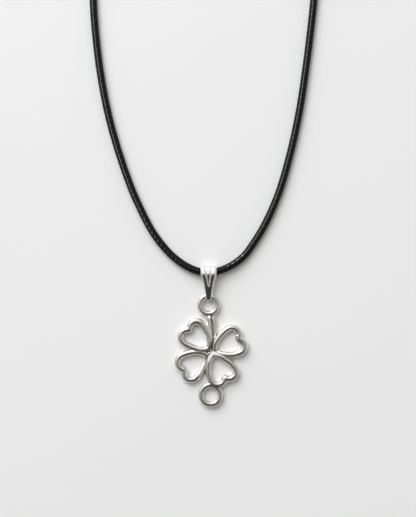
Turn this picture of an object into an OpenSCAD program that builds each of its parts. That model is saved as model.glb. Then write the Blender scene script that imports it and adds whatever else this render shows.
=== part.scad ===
// Four leaf clover pendant on a round cord, lying on its back.
// Millimetres. z = 0 is the surface that it lies on, +Y runs from the clover up to
// the bail, +Z is the front. The origin is on that surface, under the clover's centre.

/* [Leaves] */
// Width of the cast wire that outlines each leaf
wire_w = 1.5; // [1:0.05:1.8]
// Height of the leaf wire above its flat back
wire_h = 1.8; // [1.3:0.05:2.6]
// Length of a leaf from its point at the centre to the middle of its two lobes
leaf_len = 6.35; // [5.6:0.05:8]
// Distance of each lobe's centre from the leaf's own axis
lobe_x = 1.65; // [1.4:0.05:2]
// Radius of a lobe, to the middle of the wire
lobe_r = 1.8; // [1.5:0.05:2.1]
// Radius of the long bowed side of a leaf
side_r = 9.5; // [8:0.1:14]
// Radius in the pointed end of the leaf's hole
tip_fillet = 0.85; // [0.4:0.05:1]
// Radius on the beak between the lobes, inside the leaf
beak_fillet = 1; // [0.9:0.05:1.3]
// Radius in the cleft between the lobes, outside the leaf
cleft_fillet = 0.35; // [0.2:0.05:0.8]

/* [Rings and stem] */
// Height of the wire of both rings
ring_h = 1.2; // [0.9:0.05:1.6]
// Inner radius of the top ring, which the bail hooks
top_bore_r = 1.6; // [1.3:0.05:2]
// Width of the top ring's wire
top_ring_w = 1.25; // [0.9:0.05:1.6]
// Distance from the clover's centre up to the top ring's centre
stem_len = 11.25; // [10.5:0.05:14]
// Width of the stem where it is broadest
stem_w = 2.65; // [2:0.05:3]
// Inner radius of the bottom ring, free for a jump ring or a drop
bottom_bore_r = 1.75; // [1.3:0.05:2.2]
// Width of the bottom ring's wire
bottom_ring_w = 1.35; // [1:0.05:1.7]

/* [Bail] */
// Thickness of the strip that the bail is folded from
bail_wall = 0.35; // [0.3:0.05:0.5]
// Width of the bail where it goes over the cord
bail_w = 3.9; // [3:0.05:5]
// Width of the bail's tip
bail_tip_w = 0.95; // [0.7:0.05:1.4]
// Length from the cord's middle down to the bail's tip
bail_reach = 7.1; // [6.5:0.05:9]
// How far the flutes stand proud of the bail's front
flute_h = 0.1; // [0.05:0.01:0.2]
// Thickness of the pegs at the bail's tip that sit in the ring
peg_t = 0.35; // [0.25:0.05:0.5]
// How far each peg reaches from the middle of its tongue into the ring
peg_len = 0.55; // [0.4:0.05:0.6]

/* [Cord and clasp] */
// Diameter of the cord
cord_d = 1.9; // [1.5:0.05:2]
// Length of the clasp
clasp_len = 20; // [16:0.5:24]
// Diameter of the clasp's barrel
clasp_d = 4.4; // [4:0.1:6]
// Diameter of the clasp's end collars
collar_d = 3.4; // [3:0.1:4]
// Length of each end collar
collar_len = 4.5; // [4:0.1:6]
// Depth of the socket that each end of the cord is glued into
socket_depth = 4; // [3:0.1:5]
// Bevel round the ends of the clasp's barrel
clasp_bevel = 0.4; // [0.2:0.05:0.6]

/* [Clearances] */
// Gap between the bail and the ring that it hooks
hook_gap = 0.1; // [0.05:0.01:0.2]
// Gap all round the cord inside the bail
cord_gap = 0.15; // [0.12:0.01:0.3]
// Gap all round the cord in the clasp's sockets
socket_gap = 0.05; // [0.03:0.01:0.1]

/* [Hidden] */
$fn = 64;
// How far a cutter runs past what it cuts
past = 1;
silver = "#c9c6c0";
bail_silver = "#d6d4cf";
black = "#141414";

// Leaves: [turn, x, y]. turn is the leaf's direction from +X, x and y say where its
// point lies, as shares of wire_w.
LEAVES = [
    [135, -0.05, -0.10],
    [26, 0.27, -0.33],
    [-63, 0.31, -0.50],
    [210.5, -0.06, -0.80],
];
LOW_RIGHT = 2;

// Stem: sections [along, aside, wide, high] from the centre up to the top ring. along
// is a share of stem_len, aside and wide are shares of stem_w, high of wire_h.
STEM = [
    [-0.08, 0.02, 0.36, 0.90],
    [0.00, 0.06, 0.45, 1.00],
    [0.12, 0.17, 0.49, 1.00],
    [0.24, 0.24, 0.54, 1.00],
    [0.35, 0.24, 0.67, 1.00],
    [0.45, 0.22, 0.86, 1.00],
    [0.54, 0.14, 1.00, 1.00],
    [0.63, 0.13, 0.95, 1.00],
    [0.71, 0.06, 0.95, 1.00],
    [0.78, 0.02, 0.88, 0.98],
    [0.83, -0.04, 0.50, 0.80],
];
// Side step of the top ring's centre, as a share of stem_w
top_ring_aside = -0.17;
// Direction from the lower right leaf's lobe to the bottom ring, from +X
bottom_ring_dir = -114;
// How far the bottom ring's hole stays clear of that lobe
bottom_ring_clear = 0.15;

// Points on each round stretch of a leaf: its tip, its side, its lobe and its cleft
TIP_N = 3;
SIDE_N = 6;
LOBE_N = 10;
CLEFT_N = 3;
// Segments of the rounded top of a wire's section
CROWN_N = 6;
// A wire's side stands upright to this share of its height, then it rounds over
upright = 0.35;
// Half width of a wire's flat back, as a share of its own half width
back_share = 0.86;

// Centre of the long side: it lies on a circle about the lobe's centre and on a circle
// about the leaf's point
lobe_reach = side_r - lobe_r;
lobe_to_point = norm([lobe_x, leaf_len]);
side_foot = (lobe_reach^2 - side_r^2 + lobe_to_point^2) / (2 * lobe_to_point);
side_rise = sqrt(lobe_reach^2 - side_foot^2);
to_point = [-lobe_x, -leaf_len] / lobe_to_point;
side_c = [lobe_x, 0] + side_foot * to_point + side_rise * [to_point[1], -to_point[0]];
side_end = atan2(-side_c[1], lobe_x - side_c[0]);

function unit(a) = [cos(a), sin(a)];

// n points on an arc about c, its last one left out
function arc(c, r, from, to, n) =
    [for (i = [0 : n - 1]) c + r * unit(from + (to - from) * i / n)];

// Right half of a leaf's outline, d outside the wire's middle, from its tip to its cleft
function half_leaf(d, tip, cleft) =
    let (
        tip_c = [0, side_c[1] - sqrt((side_r + d - tip)^2 - side_c[0]^2)],
        cleft_c = [0, sqrt((lobe_r + d + cleft)^2 - lobe_x^2)],
        tip_end = atan2(tip_c[1] - side_c[1], tip_c[0] - side_c[0]),
        lobe_end = atan2(cleft_c[1], -lobe_x)
    )
    concat(
        arc(tip_c, tip, -90, tip_end, TIP_N),
        arc(side_c, side_r + d, tip_end, side_end, SIDE_N),
        arc([lobe_x, 0], lobe_r + d, side_end, lobe_end, LOBE_N),
        arc(cleft_c, cleft, lobe_end - 180, -90, CLEFT_N),
        [cleft_c - [0, cleft]]
    );

// Whole outline: the right half, then its mirror image back to the tip
function leaf_outline(d, tip, cleft) =
    let (half = half_leaf(d, tip, cleft), last = len(half) - 1)
    concat(half, [for (i = [last - 1 : -1 : 1]) [-half[i][0], half[i][1]]]);

// Section of a cast wire: side to side from -1 to 1, height from 0 to 1
function section() = concat(
    [[-back_share, 0], [back_share, 0]],
    [for (i = [0 : CROWN_N])
        let (a = 180 * i / CROWN_N) [cos(a), upright + (1 - upright) * sin(a)]]
);

// Skin between the rings of a sweep, m points in each; closed joins the last to the first
function skin(n, m, closed) = [
    for (i = [0 : closed ? n - 1 : n - 2], k = [0 : m - 1])
        let (j = (i + 1) % n, l = (k + 1) % m)
        each [[i * m + k, j * m + l, j * m + k], [i * m + k, i * m + l, j * m + l]]
];

// Sweep through rings of points, with flat ends unless it is closed
module sweep(rings, closed) {
    n = len(rings);
    m = len(rings[0]);
    ends = closed ? [] : [[for (k = [m - 1 : -1 : 0]) k], [for (k = [0 : m - 1]) (n - 1) * m + k]];
    polyhedron([for (ring = rings) each ring], concat(skin(n, m, closed), ends));
}

// One leaf as an open heart of unit height, its point at the origin
module leaf() {
    inner = leaf_outline(-wire_w / 2, tip_fillet, beak_fillet);
    outer = leaf_outline(wire_w / 2, wire_w / 2, cleft_fillet);
    rings = [for (i = [0 : len(inner) - 1])
        [for (s = section())
            let (p = (inner[i] + outer[i]) / 2 + s[0] * (outer[i] - inner[i]) / 2)
            [p[0], p[1] + leaf_len, s[1]]]];
    sweep(rings, true);
}

// Stem of unit height, from the top ring to the centre
module stem() {
    rings = [for (row = STEM)
        [for (s = section())
            [stem_w * (row[1] + s[0] * row[2] / 2), stem_len * row[0], s[1] * row[3]]]];
    sweep(rings, false);
}

// Height of the straight wall of a ring's bore, as a share of ring_h
bore_share = 0.4;
// Angles of the first and last point of a ring's round section, and the step between
ROUND = [210 : 20 : 510];

// Ring of round-edged wire with a true bore, on the z axis
module ring(bore_r, w) {
    land = bore_share * ring_h;
    mid = bore_r + w / 2;
    rotate_extrude() polygon(concat(
        [[bore_r, (ring_h + land) / 2], [bore_r, (ring_h - land) / 2]],
        [for (a = ROUND) [mid + w / 2 * cos(a), ring_h / 2 * (1 + sin(a))]]
    ));
}

// Both rings are held clear of the surface, so that the bail's back fits under
ring_lift = bail_wall + hook_gap;
top_ring_x = top_ring_aside * stem_w;

function leaf_point(leaf) = wire_w * [leaf[1], leaf[2]];

// The bottom ring hangs on the lower right leaf, off the lobe nearer to the centre line
low_leaf = LEAVES[LOW_RIGHT];
low_lobe = leaf_point(low_leaf) + leaf_len * unit(low_leaf[0]) + lobe_x * unit(low_leaf[0] - 90);
bottom_ring_off = lobe_r + wire_w / 2 + bottom_bore_r + bottom_ring_clear;
bottom_ring = low_lobe + bottom_ring_off * unit(bottom_ring_dir);

module clover() {
    color(silver) {
        resize([0, 0, wire_h]) {
            for (row = LEAVES) {
                translate(leaf_point(row)) rotate(row[0] - 90) leaf();
            }
            stem();
        }
        translate([top_ring_x, stem_len, ring_lift]) ring(top_bore_r, top_ring_w);
        translate([bottom_ring[0], bottom_ring[1], ring_lift]) ring(bottom_bore_r, bottom_ring_w);
    }
}

// Bail: a strip folded round the cord, whose two tongues close on the top ring
loop_r = cord_d / 2 + cord_gap;
loop_out = loop_r + bail_wall;
tip_y = stem_len + top_bore_r - hook_gap - peg_t;
loop_y = tip_y + bail_reach;
ring_top = ring_lift + ring_h;
tip_z = ring_top + hook_gap + bail_wall;
// Slope of the front tongue, which touches the loop along a straight line
tip_far = norm([bail_reach, loop_out - tip_z]);
slope = atan2(loop_out - tip_z, bail_reach) + asin(loop_out / tip_far);

// Side view of the bail, filled, d outside its loop's hollow: x runs from the cord's
// middle to reach
module bail_side(d, reach = bail_reach) {
    r = loop_r + d;
    top = r * [sin(slope), cos(slope)];
    fall = (reach - top[0]) * tan(slope);
    circle(r);
    polygon([[0, -r], [reach, -r], [reach, top[1] - fall], top, [0, 0]]);
}

// Stands the side view up across the bail and gives it the width w
module across_bail(w) {
    translate([top_ring_x, loop_y, loop_out]) rotate([90, 0, -90])
        linear_extrude(w, center = true) children();
}

// Front view of the bail between its fold and its tip: [below, half]. below is how far
// under the cord's middle, a share of bail_reach, half is a share of bail_w.
BAIL_SHAPE = [[0.05, 0.445], [0.47, 0.27]];
fold_y = loop_y + loop_out + past;

module bail_front(h) {
    right = concat(
        [[bail_w / 2, fold_y]],
        [for (row = BAIL_SHAPE) [row[1] * bail_w, loop_y - row[0] * bail_reach]],
        [[bail_tip_w / 2, tip_y]]
    );
    left = [for (i = [len(right) - 1 : -1 : 0]) [-right[i][0], right[i][1]]];
    translate([top_ring_x, 0, 0]) linear_extrude(h) polygon(concat(right, left));
}

// Flutes: left and right edge of each at the fold, as shares of bail_w from the middle
FLUTES = [[-0.48, -0.28], [-0.19, 0.19], [0.28, 0.48]];
// Foot of the flutes: how far down the bail, and how wide there, as shares
flute_foot = 0.5;
flute_squeeze = 0.25;

// Front view of one flute
module flute_front(ends, h) {
    foot_y = loop_y - flute_foot * bail_reach;
    fold = bail_w * ends;
    foot = flute_squeeze * fold;
    translate([top_ring_x, 0, 0]) linear_extrude(h)
        polygon([[fold[0], fold_y], [fold[1], fold_y], [foot[1], foot_y], [foot[0], foot_y]]);
}

module bail() {
    tall = 2 * (loop_out + flute_h);
    color(bail_silver) {
        difference() {
            union() {
                intersection() {
                    across_bail(bail_w) bail_side(bail_wall);
                    bail_front(tall);
                }
                for (ends = FLUTES) {
                    intersection() {
                        across_bail(bail_w) bail_side(bail_wall + flute_h);
                        translate([0, 0, loop_out]) flute_front(ends, tall);
                    }
                }
            }
            across_bail(2 * bail_w) bail_side(0, bail_reach + past);
        }
        // The pegs at the tips, one up from the back tongue and one down from the front
        for (z = [bail_wall / 2, tip_z - bail_wall / 2 - peg_len]) {
            translate([top_ring_x - bail_tip_w / 2, tip_y, z]) cube([bail_tip_w, peg_t, peg_len]);
        }
    }
}

// Clasp: a plain barrel with a collar and a socket at each end, lying across +X
clasp_x = -1.5;
clasp_y = 190;
module clasp() {
    r = clasp_d / 2;
    half = clasp_len / 2 - collar_len;
    flat = half - clasp_bevel;
    color(silver) translate([clasp_x, clasp_y, r]) rotate([0, 90, 0]) difference() {
        union() {
            rotate_extrude() polygon([
                [0, -half], [r - clasp_bevel, -half], [r, -flat],
                [r, flat], [r - clasp_bevel, half], [0, half]]);
            cylinder(d = collar_d, h = clasp_len, center = true);
        }
        for (side = [0, 180]) {
            rotate([side, 0, 0]) translate([0, 0, clasp_len / 2 - socket_depth])
                cylinder(r = cord_d / 2 + socket_gap, h = socket_depth + past);
        }
    }
}

// Cord: route from the clasp's left socket down the left side, through the bail and up
// the right side. Each row is x, y and how far the cord is lifted off the surface.
ROUTE = [
    [-7.5, 190, 1.25], [-11.5, 190, 1.25], [-15.5, 190, 1.25], [-20.6, 188.9, 0.9],
    [-25.4, 186.1, 0.4], [-28.7, 181.7, 0.08], [-30.6, 176.4, 0], [-31.3, 165.3, 0],
    [-31.1, 131.4, 0], [-29.7, 97.5, 0], [-28.9, 81, 0], [-27.6, 69.8, 0],
    [-25.5, 58.7, 0], [-22.4, 47.8, 0], [-18.4, 37.2, 0], [-13, 27.4, 0],
    [-9.2, 23.2, 0.05], [-5.8, 20.8, 0.28], [-2.7, 19.6, 0.5], [-0.5, 19.45, 0.5],
    [1.7, 19.65, 0.5], [4.9, 20.9, 0.28], [8, 23.1, 0.05], [11.4, 27.6, 0],
    [16.5, 37.7, 0], [19.8, 48.5, 0], [22.2, 59.5, 0], [23.9, 70.7, 0],
    [25.3, 82, 0], [26.9, 99, 0], [28.2, 132.8, 0], [28.3, 166.8, 0],
    [27.6, 176.4, 0], [25.7, 181.7, 0.08], [22.4, 186.1, 0.4], [17.6, 188.9, 0.9],
    [12.5, 190, 1.25], [8.5, 190, 1.25], [4.5, 190, 1.25],
];
CORD_SIDES = 8;
// Longest step from ring to ring, in diameters of the cord
ring_step = 3 * cord_d;

// Way along the route at point i: the spans before and after it, the shorter one
// counting more, so that the curve bends evenly where the points lie unevenly
function way_at(p, i) =
    let (
        back = i == 0 ? p[1] - p[0] : p[i] - p[i - 1],
        on = i == len(p) - 1 ? back : p[i + 1] - p[i],
        n = norm(back), m = norm(on)
    )
    (back * m / n + on * n / m) / (n + m);

// Smooth curve through the route's points: place between points i and i + 1 at share t
function route_at(p, i, t) =
    let (b = p[i], c = p[i + 1], span = norm(c - b))
    b * (2 * t^3 - 3 * t^2 + 1) + c * (3 * t^2 - 2 * t^3)
    + span * (way_at(p, i) * (t^3 - 2 * t^2 + t) + way_at(p, i + 1) * (t^3 - t^2));

// The same place, kept from dipping below a cord that rests on the surface
function laid(p) = [p[0], p[1], max(p[2], cord_d / 2)];

module cord() {
    points = [for (row = ROUTE) [row[0], row[1], row[2] + cord_d / 2]];
    last = len(points) - 1;
    path = [
        for (i = [0 : last - 1])
            let (n = ceil(norm(points[i + 1] - points[i]) / ring_step))
            each [for (k = [0 : n - 1]) laid(route_at(points, i, k / n))],
        points[last]
    ];
    end = len(path) - 1;
    rings = [for (i = [0 : end])
        let (
            way = path[min(i + 1, end)] - path[max(i - 1, 0)],
            ahead = way / norm(way),
            aside = [ahead[1], -ahead[0], 0] / norm([ahead[0], ahead[1]]),
            up = cross(aside, ahead)
        )
        [for (k = [0 : CORD_SIDES - 1])
            let (a = 360 * k / CORD_SIDES)
            path[i] + cord_d / 2 * (cos(a) * aside + sin(a) * up)]];
    color(black) sweep(rings, false);
}

cord();
clasp();
bail();
clover();
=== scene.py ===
"""Four leaf clover pendant on a black braided cord, lying on its back on a pale floor.

The clover is cast in one piece as a smooth field, the bail is folded from a pressed strip,
the cord follows the frame's route and the clasp is turned. The tables and the shapes are
in millimetres, the settings, the finished meshes and the stage in metres.
"""

import math

import bmesh
import bpy
import numpy as np
from bpy.props import FloatProperty, FloatVectorProperty, IntProperty, PointerProperty
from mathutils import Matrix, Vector


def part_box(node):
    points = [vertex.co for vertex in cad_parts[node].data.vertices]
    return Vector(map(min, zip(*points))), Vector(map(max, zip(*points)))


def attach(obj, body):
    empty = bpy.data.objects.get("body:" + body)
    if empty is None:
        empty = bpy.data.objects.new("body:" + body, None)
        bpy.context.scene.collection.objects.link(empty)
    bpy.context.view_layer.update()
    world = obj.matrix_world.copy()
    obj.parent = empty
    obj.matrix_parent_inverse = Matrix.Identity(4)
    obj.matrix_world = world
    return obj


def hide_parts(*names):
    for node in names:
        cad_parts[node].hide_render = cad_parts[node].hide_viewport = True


bl_info = {
    "name": "Four leaf clover pendant",
    "version": (1, 0, 0),
    "blender": (4, 5, 0),
    "location": "3D View > Sidebar > Clover pendant",
    "description": "Builds a clover pendant on a braided cord with its bail and clasp",
    "category": "Add Mesh",
}

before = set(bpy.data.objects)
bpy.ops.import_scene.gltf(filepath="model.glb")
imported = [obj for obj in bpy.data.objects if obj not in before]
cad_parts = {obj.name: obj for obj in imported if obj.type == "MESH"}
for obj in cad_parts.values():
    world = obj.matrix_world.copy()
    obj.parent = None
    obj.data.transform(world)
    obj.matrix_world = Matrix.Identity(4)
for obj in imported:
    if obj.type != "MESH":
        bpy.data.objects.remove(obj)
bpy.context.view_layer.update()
MM = 0.001
BODY = "root"

# Leaves: direction from +X in degrees, where the point lies in wire widths, and how far
# the wire sinks there, as a share of its height, under the leaves that cross it
LEAVES = (
    (135.0, -0.05, -0.10, 0.10),
    (26.0, 0.27, -0.33, 0.28),
    (-63.0, 0.31, -0.50, 0.12),
    (210.5, -0.06, -0.80, 0.06),
)

# How each leaf strays from an even heart: outward shifts in millimetres of its inner and
# its outer outline, at angles about its middle, in degrees from the side that lies clockwise
NUDGE_ANGLES = (-65, -30, 8, 35, 60, 90, 120, 144, 172, 209, 245)
NUDGES = (
    ((-0.10, -0.20, -0.36, -0.40, -0.18, 0.0, 0.0, -0.10, -0.24, -0.23, -0.20),
     (-0.04, -0.06, -0.08, -0.12, -0.06, 0.0, 0.0, -0.03, -0.10, -0.08, -0.07)),
    ((-0.22, -0.12, -0.06, -0.34, -0.04, 0.12, 0.02, 0.0, 0.04, 0.0, 0.0),
     (-0.10, -0.04, 0.0, -0.12, 0.0, 0.04, 0.0, 0.0, 0.0, 0.0, 0.0)),
    ((0.04, 0.18, 0.18, -0.14, -0.30, -0.30, -0.40, -0.16, -0.12, -0.20, -0.16),
     (0.18, 0.25, 0.15, 0.0, -0.16, -0.16, -0.22, -0.10, -0.10, -0.22, -0.20)),
    ((0.10, 0.12, 0.06, -0.08, 0.15, 0.20, 0.08, -0.26, -0.28, -0.46, -0.52),
     (0.0, 0.04, 0.02, -0.02, 0.06, 0.08, 0.0, -0.12, -0.20, -0.38, -0.46)),
)

# Where a leaf's wire dips under the leaf beside it: leaf, its side (1 is clockwise), how
# far from its point the dip ends, over what length, and its share of the wire's height
DIPS = ((3, -1, 5.6, 4.0, 0.40), (1, 1, 3.6, 3.4, 0.26))

# Where along a leaf its sink starts to fade, over what length, and over what width a dip
# fades out at the leaf's axis
SINK_FROM, SINK_REACH, DIP_EDGE = -0.4, 2.2, 0.6

# Radii that round a leaf's outlines: point and cleft of its inner one, cleft of its outer one
INNER_TIP, INNER_CLEFT, OUTER_CLEFT = 0.85, 1.0, 0.35

# Least half width of a leaf's wire, and where the middle of its nudges lies, as a share of
# the leaf's length
LEAST_HALF, NUDGE_MIDDLE = 0.3, 0.7

# Stem sections from the centre up: share of its length, side step and width in stem
# widths, height in wire heights
STEM = (
    (-0.08, 0.02, 0.36, 0.60),
    (0.00, 0.06, 0.45, 0.72),
    (0.12, 0.17, 0.49, 0.92),
    (0.24, 0.24, 0.54, 1.00),
    (0.35, 0.24, 0.67, 1.00),
    (0.45, 0.22, 0.86, 1.00),
    (0.54, 0.14, 1.00, 1.00),
    (0.63, 0.13, 0.95, 1.00),
    (0.71, 0.06, 0.95, 1.00),
    (0.76, 0.00, 0.92, 0.86),
    (0.80, -0.06, 0.86, 0.72),
    (0.84, -0.11, 0.74, 0.64),
    (0.87, -0.14, 0.60, 0.60),
)

# How far right of the stem's middle its crest runs, as a share of the half width
CREST_ASIDE = 0.2

# The ledge right of the crest: where it starts, over what width it falls, and how far, as
# a share of the stem's height
LEDGE_START, LEDGE_FALL, LEDGE_DROP = -0.12, 0.35, 0.42

# Hole radius and wire width of the top ring and of the bottom ring, how far both are lifted
# off the floor, and the height of their wire
RING_WIRES = ((1.6, 1.25), (1.75, 1.35))
RING_LIFT, RING_HEIGHT = 0.45, 1.2

# How far aside of the middle the top ring lies, in stem widths. The way from the lower
# right leaf's lobe to the bottom ring, in degrees, and how far its hole stays off the lobe.
TOP_ASIDE = -0.17
BOTTOM_WAY, BOTTOM_GAP = -114, 0.15

# Grooves cut in the casting, darkened round them with dirt and painted shade: radius, height of
# their floor, and points along each
CUTS = (
    (0.15, 1.15, ((0.15, 8.7), (0.40, 6.95), (0.66, 5.45), (0.68, 3.2), (0.42, 1.2),
                  (0.30, 0.55))),
    (0.17, 0.85, ((0.34, 0.75), (0.15, 0.20), (-0.30, -0.24), (-0.85, -0.50))),
    (0.14, 1.25, ((6.03, 2.83), (6.9, 2.33), (7.9, 1.33))),
)

# Low webs in the corners between wires, dark with dirt and painted shade: centre, radius and
# height
WEBS = ((-1.42, -5.35, 0.42, 0.7), (4.5, -2.0, 0.40, 0.7), (2.0, -9.3, 0.40, 0.7))

# Beads on the wires: centre and radius
BEADS = ((6.68, 3.45, 1.25, 0.50),)

# How softly shapes join: the stem and the upper left leaf, webs, beads and grooves with
# the casting, its sides with its flat back, and the stem's ends with its body
STEM_MELT, WEB_MELT, BEAD_MELT, CUT_MELT, BACK_MELT, END_MELT = 0.6, 0.1, 0.15, 0.12, 0.3, 0.5

# Dark creases, dirt and painted shade in one: how near two parts are there, how far one
# reaches round a web or groove, in radii of it, and how far above a web
CREASE_REACH, DARK_REACH, WEB_DARK = 0.28, 1.6, 0.3

# Cord route from the clasp's left socket round to its right one: x, y, lift off the floor
ROUTE = (
    (-7.5, 190, 1.25), (-11.5, 190, 1.25), (-15.5, 190, 1.25), (-20.6, 188.9, 0.9),
    (-25.4, 186.1, 0.4), (-28.7, 181.7, 0.08), (-30.6, 176.4, 0), (-31.3, 165.3, 0),
    (-31.1, 131.4, 0), (-29.7, 97.5, 0), (-28.9, 81, 0), (-27.6, 69.8, 0),
    (-25.5, 58.7, 0), (-22.4, 47.8, 0), (-18.4, 37.2, 0), (-13, 27.4, 0),
    (-9.2, 23.2, 0.05), (-5.8, 20.8, 0.28), (-2.7, 19.6, 0.5), (-0.5, 19.45, 0.5),
    (1.7, 19.65, 0.5), (4.9, 20.9, 0.28), (8, 23.1, 0.05), (11.4, 27.6, 0),
    (16.5, 37.7, 0), (19.8, 48.5, 0), (22.2, 59.5, 0), (23.9, 70.7, 0),
    (25.3, 82, 0), (26.9, 99, 0), (28.2, 132.8, 0), (28.3, 166.8, 0),
    (27.6, 176.4, 0), (25.7, 181.7, 0.08), (22.4, 186.1, 0.4), (17.6, 188.9, 0.9),
    (12.5, 190, 1.25), (8.5, 190, 1.25), (4.5, 190, 1.25),
)

# Bail seen from the side, over the cord and down its front: place up the pendant, height
BAIL_HUMP = ((20.30, 2.66), (19.75, 2.80), (19.25, 2.88), (18.85, 2.91), (18.2, 2.83))

# Grooves between the bail's flutes: from and to, aside of its middle and up the pendant
BAIL_GROOVES = (((-1.12, 21.3), (-0.02, 16.05)), ((0.82, 21.3), (0.10, 16.05)))

# How far from a groove, and from the strip's edge, a flute has its full height: places up
# the pendant, and distances there. Flutes grow in over a height above the loop's middle.
FLUTE_CROWNS = ((15.6, 17.0, 18.7, 19.3), (0.26, 0.35, 0.35, 0.26))
FLUTE_EDGES = ((13.5, 17.0), (0.16, 0.35))
FLUTE_RISE = 0.5

# Bail seen from the front: height up the pendant, and its width there
BAIL_WIDTHS = (
    (12.40, 0.86), (12.60, 0.98), (13.20, 1.18), (14.95, 1.72), (16.20, 2.15),
    (17.45, 2.75), (18.60, 3.40), (19.50, 3.75), (20.95, 3.95),
)

# Clasp: how deep its sockets are, how far they stay off the cord, where its collars'
# grooves lie from its ends, and the outline of such a groove and of the seam round its
# middle: distance from there, and depth
SOCKET_DEPTH, SOCKET_GAP = 4, 0.05
COLLAR_GROOVES = (1.1, 1.9)
GROOVE_OUTLINE = ((0.2, 0.0), (0.1, 0.12), (-0.1, 0.12), (-0.2, 0.0))
SEAM_OUTLINE = ((0.3, 0.0), (0.12, 0.03), (0.04, 0.12), (0.0, 0.13))

# Sky: azimuth from +X and elevation in degrees, the dot products where a patch begins and
# is full, and by what share it makes the sky there brighter, or darker where it is
# negative. The first two make it cooler too.
SKY = (
    (118, 10, 0.60, 0.95, 0.80),
    (115, 50, 0.76, 0.88, 0.95),
    (-85, 30, 0.50, 0.86, -0.52),
    (-142, 17, 0.74, 0.93, -0.40),
    (-86, 70, 0.90, 0.97, -0.62),
    (-89, 71, 0.968, 0.990, -0.60),
)

# Area lights: azimuth from +X and elevation in degrees, distance and two sides in metres
LIGHTS = {
    "main": (120, 43, 1.6, (1.2, 1.2)),
    "glint": (120, 43, 1.5, (0.27, 0.27)),
    "strip": (170, 57, 1.5, (1.3, 0.2)),
}


class CloverSizes(bpy.types.PropertyGroup):
    """Sizes of the cast clover's leaves and stem"""

    wire_width: FloatProperty(
        name="Wire width", description="Width of the wire round a leaf",
        default=1.5 * MM, unit="LENGTH")
    wire_height: FloatProperty(
        name="Wire height", description="Height of the wire over its flat back",
        default=1.8 * MM, unit="LENGTH")
    leaf_length: FloatProperty(
        name="Leaf length", description="From the leaf's point to the middle of its lobes",
        default=6.35 * MM, unit="LENGTH")
    lobe_step: FloatProperty(
        name="Lobe step", description="From the leaf's axis to each lobe's centre",
        default=1.65 * MM, unit="LENGTH")
    lobe_radius: FloatProperty(
        name="Lobe radius", description="Radius of a lobe, to the middle of the wire",
        default=1.8 * MM, unit="LENGTH")
    side_radius: FloatProperty(
        name="Side radius", description="Radius of the long bowed side of a leaf",
        default=9.5 * MM, unit="LENGTH")
    stem_length: FloatProperty(
        name="Stem length", description="From the centre up to the top ring's centre",
        default=11.25 * MM, unit="LENGTH")
    stem_width: FloatProperty(
        name="Stem width", description="Width of the stem where it is broadest",
        default=2.65 * MM, unit="LENGTH")
    melt: FloatProperty(
        name="Melt", description="How far neighbouring wires run into each other",
        default=0.13 * MM, unit="LENGTH")
    mesh_step: FloatProperty(
        name="Mesh step", description="Grid step that the casting is meshed at",
        default=0.1 * MM, unit="LENGTH")


class BailSizes(bpy.types.PropertyGroup):
    """Sizes of the folded bail"""

    thickness: FloatProperty(
        name="Strip thickness", description="Thickness of the folded strip",
        default=0.35 * MM, unit="LENGTH")
    flute_height: FloatProperty(
        name="Flute height", description="How far the flutes stand proud",
        default=0.21 * MM, unit="LENGTH")
    loop_height: FloatProperty(
        name="Loop height", description="Height of the loop's middle over the floor",
        default=1.45 * MM, unit="LENGTH")
    loop_place: FloatProperty(
        name="Loop place", description="How far up the pendant the loop's middle lies",
        default=19.5 * MM, unit="LENGTH")


class CordSizes(bpy.types.PropertyGroup):
    """Sizes of the cord and its braid"""

    diameter: FloatProperty(
        name="Diameter", description="Diameter of the cord",
        default=1.9 * MM, unit="LENGTH")
    sides: IntProperty(
        name="Sides", description="Sides of the round tube", default=24, min=8)
    strands: IntProperty(
        name="Strands", description="Strands that wind each way round the cord", default=5)
    lay_length: FloatProperty(
        name="Lay length", description="Length in which a strand goes once round",
        default=6.5 * MM, unit="LENGTH")
    relief: FloatProperty(
        name="Relief", description="Depth of the gaps between the strands",
        default=0.036 * MM, unit="LENGTH")


class ClaspSizes(bpy.types.PropertyGroup):
    """Sizes of the barrel clasp"""

    length: FloatProperty(
        name="Length", description="Length of the whole clasp",
        default=20 * MM, unit="LENGTH")
    barrel: FloatProperty(
        name="Barrel", description="Diameter of the barrel",
        default=4.4 * MM, unit="LENGTH")
    collar: FloatProperty(
        name="Collar", description="Diameter of the end collars",
        default=3.4 * MM, unit="LENGTH")
    collar_length: FloatProperty(
        name="Collar length", description="Length of each end collar",
        default=4.5 * MM, unit="LENGTH")


class Finishes(bpy.types.PropertyGroup):
    """Colours of the metal and the cord"""

    charm: FloatVectorProperty(
        name="Charm metal", description="Colour of the clover's plating",
        default=(0.80, 0.77, 0.725), subtype="COLOR", size=3, min=0, max=1)
    bail: FloatVectorProperty(
        name="Bail metal", description="Colour of the bail's plating",
        default=(0.95, 0.935, 0.90), subtype="COLOR", size=3, min=0, max=1)
    cord: FloatVectorProperty(
        name="Cord", description="Colour of the waxed braid",
        default=(0.003, 0.003, 0.003), subtype="COLOR", size=3, min=0, max=1)


class StageLooks(bpy.types.PropertyGroup):
    """Floor, light and camera"""

    floor: FloatVectorProperty(
        name="Floor", description="Colour of the floor",
        default=(0.828, 0.837, 0.835), subtype="COLOR", size=3, min=0, max=1)
    main: FloatProperty(
        name="Main light", description="Power of the soft light on the upper left",
        default=19.0, subtype="POWER")
    glint: FloatProperty(
        name="Glint", description="Power of the small light that only reflections show",
        default=16.0, subtype="POWER")
    strip: FloatProperty(
        name="Strip", description="Power of the long light that only the cord shows",
        default=20.0, subtype="POWER")
    fill: FloatProperty(
        name="Fill", description="Strength of the even light from all round", default=0.50)
    lens: FloatProperty(
        name="Lens", description="Focal length of the camera", default=85.0,
        subtype="DISTANCE_CAMERA")


def settings():
    """The scene's settings of this add-on."""
    return bpy.context.scene.clover_pendant


# Nodes and materials


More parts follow.
